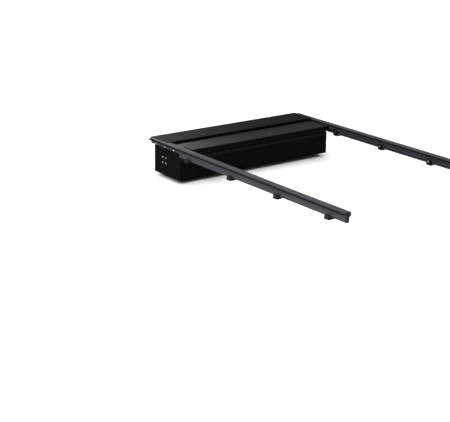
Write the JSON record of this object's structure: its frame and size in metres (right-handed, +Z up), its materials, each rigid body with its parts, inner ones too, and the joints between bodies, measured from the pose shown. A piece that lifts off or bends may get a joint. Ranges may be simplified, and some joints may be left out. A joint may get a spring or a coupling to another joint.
{
  "type": "retractable tonneau cover",
  "caption": "Retractable truck bed cover with side guide rails, a roll canister under a fixed lid, a slatted curtain and a latching lead bar, shown rolled open.",
  "frame": {"origin": "middle of the canister flange's underside, level with the tops of the bed rails and the front end of the guide rails", "axes": "+X to the passenger side, +Y toward the cab, +Z up; the curtain pulls out along -Y"},
  "size_m": [1.284, 1.894, 0.2469],
  "materials": {
    "black_rail": "fine-texture black powder coat",
    "black_lid": "fine-texture black powder coat",
    "black_slat": "matte black powder coat",
    "canister_sheet": "matte black powder coat",
    "black_rubber": "matte EPDM",
    "black_plastic": "moulded, fine grain",
    "nylon": "black nylon",
    "steel_zinc": "zinc plated",
    "black_steel": "black oxide",
    "bronze": "sintered bronze",
    "spring_steel": "oiled spring steel",
    "raw_aluminium": "mill finish",
    "chrome_key": "polished"
  },
  "bodies": {
    "bed_frame": {"left_rail": "black_rail", "right_rail": "black_rail", "left_rail_seal": "black_rubber", "right_rail_seal": "black_rubber", "left_wiper_seal": "black_rubber", "right_wiper_seal": "black_rubber", "left_rail_end_cap": "black_plastic", "right_rail_end_cap": "black_plastic", "canister_shell": "canister_sheet", "left_end_plate": "canister_sheet", "right_end_plate": "canister_sheet", "left_guide_track": "nylon", "right_guide_track": "nylon", "left_axle_bracket": "black_steel", "right_axle_bracket": "black_steel", "canister_lid": "black_lid", "bulkhead_seal": "black_rubber", "lid_wiper_seal": "black_rubber", "lid_screws": "black_steel", "end_plate_bolts": "steel_zinc", "drum_axle": "black_steel", "torsion_spring": "spring_steel", "strike_plates": "steel_zinc", "clamp_brackets": "canister_sheet", "clamp_jaws": "black_plastic", "clamp_bolts": "steel_zinc", "left_drain_fitting": "black_plastic", "right_drain_fitting": "black_plastic", "curtain_run": "black_slat", "curtain_run_glides": "nylon"},
    "drum": {"drum_tube": "raw_aluminium", "left_drum_hub": "nylon", "right_drum_hub": "nylon", "left_drum_bush": "bronze", "right_drum_bush": "bronze", "wound_slats": "black_slat", "wound_slat_glides": "nylon"},
    "lead_bar": {"lead_bar": "black_rail", "left_bar_end_cap": "black_plastic", "right_bar_end_cap": "black_plastic", "tailgate_seal": "black_rubber", "roller_pins": "steel_zinc", "handle_bezel": "black_plastic", "handle_pin": "steel_zinc", "key_sleeve": "black_steel", "latch_springs": "spring_steel", "cam_pin": "steel_zinc"},
    "pull_handle": {"pull_handle": "black_plastic"},
    "key_cylinder": {"key_cylinder": "chrome_key"},
    "left_latch_rod": {"left_latch_rod": "steel_zinc"},
    "right_latch_rod": {"right_latch_rod": "steel_zinc"},
    "latch_cam": {"latch_cam": "steel_zinc"},
    "left_front_roller": {"left_front_roller": "nylon"},
    "left_rear_roller": {"left_rear_roller": "nylon"},
    "right_front_roller": {"right_front_roller": "nylon"},
    "right_rear_roller": {"right_rear_roller": "nylon"}
  },
  "joints": [
    {"name": "curtain_slide", "type": "slide", "parent": "bed_frame", "child": "lead_bar", "axis": [0, -1, 0], "range_m": [0, 1.48]},
    {"name": "drum_spin", "type": "hinge", "parent": "bed_frame", "child": "drum", "pos_m": [0, -0.15, -0.106], "axis": [1, 0, 0], "continuous": true},
    {"name": "handle_lift", "type": "hinge", "parent": "lead_bar", "child": "pull_handle", "pos_m": [0, -0.316, -0.019], "axis": [1, 0, 0], "range_deg": [0, 50], "stiffness_Nm_per_rad": 0.05, "springref_deg": -34.38},
    {"name": "key_turn", "type": "hinge", "parent": "lead_bar", "child": "key_cylinder", "pos_m": [0.095, -0.335, 0], "axis": [0, 0, 1], "range_deg": [0, 90]},
    {"name": "left_latch_slide", "type": "slide", "parent": "lead_bar", "child": "left_latch_rod", "axis": [1, 0, 0], "range_m": [0, 0.0099], "stiffness_N_per_m": 400, "springref_m": -0.01},
    {"name": "right_latch_slide", "type": "slide", "parent": "lead_bar", "child": "right_latch_rod", "axis": [-1, 0, 0], "range_m": [0, 0.01], "stiffness_N_per_m": 400, "springref_m": -0.01},
    {"name": "cam_turn", "type": "hinge", "parent": "lead_bar", "child": "latch_cam", "pos_m": [0, -0.3727, -0.011], "axis": [0, 1, 0], "range_deg": [0, 92]},
    {"name": "left_front_roller_spin", "type": "hinge", "parent": "lead_bar", "child": "left_front_roller", "pos_m": [-0.602, -0.304, 0.00185], "axis": [1, 0, 0], "continuous": true},
    {"name": "left_rear_roller_spin", "type": "hinge", "parent": "lead_bar", "child": "left_rear_roller", "pos_m": [-0.602, -0.352, 0.00185], "axis": [1, 0, 0], "continuous": true},
    {"name": "right_front_roller_spin", "type": "hinge", "parent": "lead_bar", "child": "right_front_roller", "pos_m": [0.602, -0.304, 0.00185], "axis": [1, 0, 0], "continuous": true},
    {"name": "right_rear_roller_spin", "type": "hinge", "parent": "lead_bar", "child": "right_rear_roller", "pos_m": [0.602, -0.352, 0.00185], "axis": [1, 0, 0], "continuous": true}
  ],
  "couplings": [
    {"joint": "drum_spin", "follows": "curtain_slide", "rad_per_m": 16.6},
    {"joint": "right_latch_slide", "follows": "left_latch_slide", "ratio": 1},
    {"joint": "handle_lift", "follows": "left_latch_slide", "rad_per_m": 88.1},
    {"joint": "cam_turn", "follows": "left_latch_slide", "rad_per_m": 158.6},
    {"joint": "left_front_roller_spin", "follows": "curtain_slide", "rad_per_m": 144.93},
    {"joint": "left_rear_roller_spin", "follows": "curtain_slide", "rad_per_m": 144.93},
    {"joint": "right_front_roller_spin", "follows": "curtain_slide", "rad_per_m": 144.93},
    {"joint": "right_rear_roller_spin", "follows": "curtain_slide", "rad_per_m": 144.93}
  ]
}
